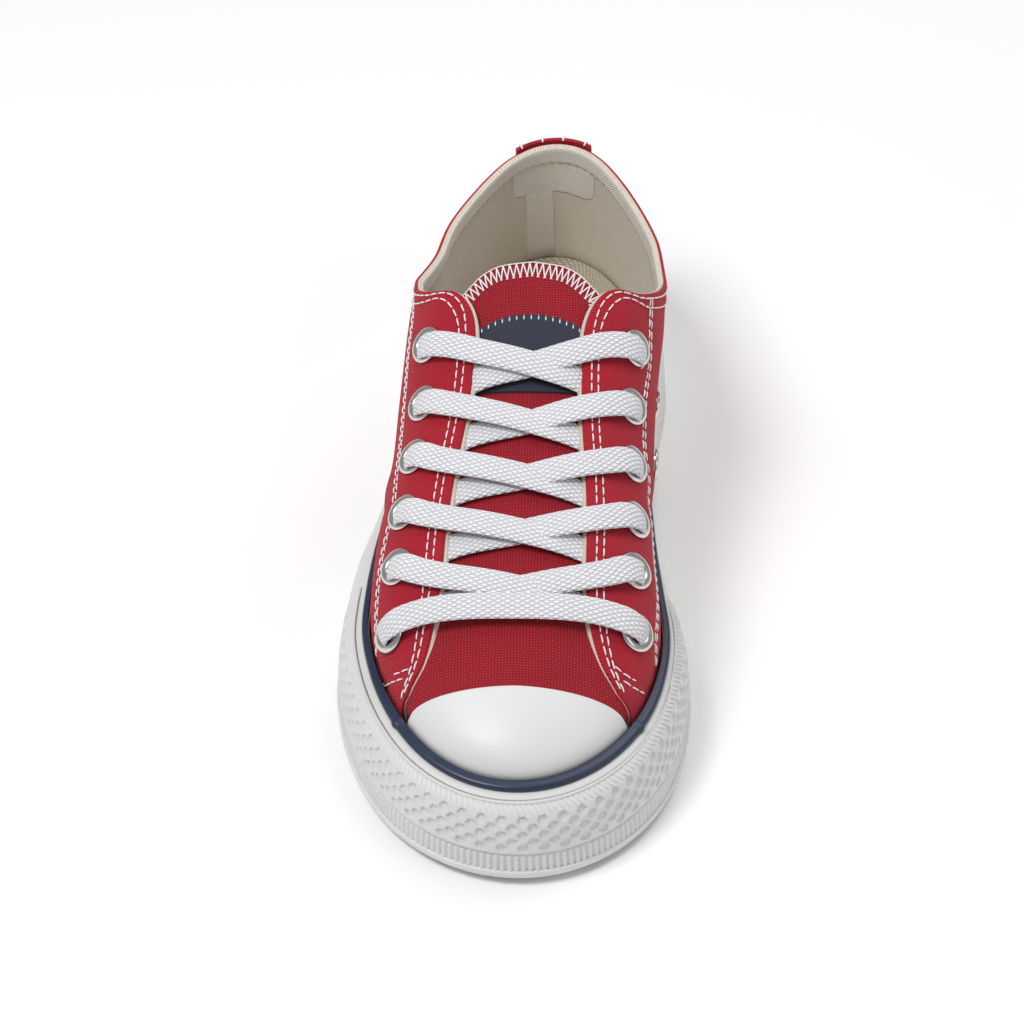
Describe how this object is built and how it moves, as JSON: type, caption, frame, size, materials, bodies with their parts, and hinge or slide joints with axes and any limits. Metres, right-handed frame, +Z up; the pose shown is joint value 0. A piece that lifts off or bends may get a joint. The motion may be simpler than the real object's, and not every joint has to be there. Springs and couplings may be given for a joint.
{
  "type": "canvas sneaker",
  "caption": "Low red canvas sneaker for the right foot with a white rubber sole and toe bumper, a navy stripe and flat white laces.",
  "frame": {"origin": "middle of the outline box on the ground", "axes": "+Y from toe to heel, +X towards the inner side of the foot, +Z up"},
  "size_m": [0.1032, 0.271, 0.0908],
  "materials": {
    "canvas_red": "coarse matt cotton canvas",
    "rubber_cap": "smooth satin moulded rubber",
    "insole_cloth": "matt cream cotton over foam",
    "rubber_sole": "matt moulded rubber",
    "rubber_white": "satin moulded rubber",
    "rubber_navy": "satin coloured rubber",
    "label_navy": "fine woven ribbon",
    "eyelet_nickel": "polished nickel plate",
    "lace_white": "flat braided cotton"
  },
  "bodies": {
    "root": {"upper": "canvas_red", "toe_cap": "rubber_cap", "tongue": "canvas_red", "heel_strip": "canvas_red", "insole": "insole_cloth", "outsole": "rubber_sole", "foxing": "rubber_white", "toe_bumper": "rubber_white", "pinstripe": "rubber_navy", "tongue_label": "label_navy", "eyelet_lateral_1": "eyelet_nickel", "eyelet_lateral_2": "eyelet_nickel", "eyelet_lateral_3": "eyelet_nickel", "eyelet_lateral_4": "eyelet_nickel", "eyelet_lateral_5": "eyelet_nickel", "eyelet_lateral_6": "eyelet_nickel", "eyelet_medial_1": "eyelet_nickel", "eyelet_medial_2": "eyelet_nickel", "eyelet_medial_3": "eyelet_nickel", "eyelet_medial_4": "eyelet_nickel", "eyelet_medial_5": "eyelet_nickel", "eyelet_medial_6": "eyelet_nickel", "vent_1": "eyelet_nickel", "vent_2": "eyelet_nickel", "lace_bar": "lace_white", "lace_cross_1": "lace_white", "lace_cross_2": "lace_white", "lace_cross_3": "lace_white", "lace_cross_4": "lace_white", "lace_cross_5": "lace_white"}
  },
  "joints": []
}
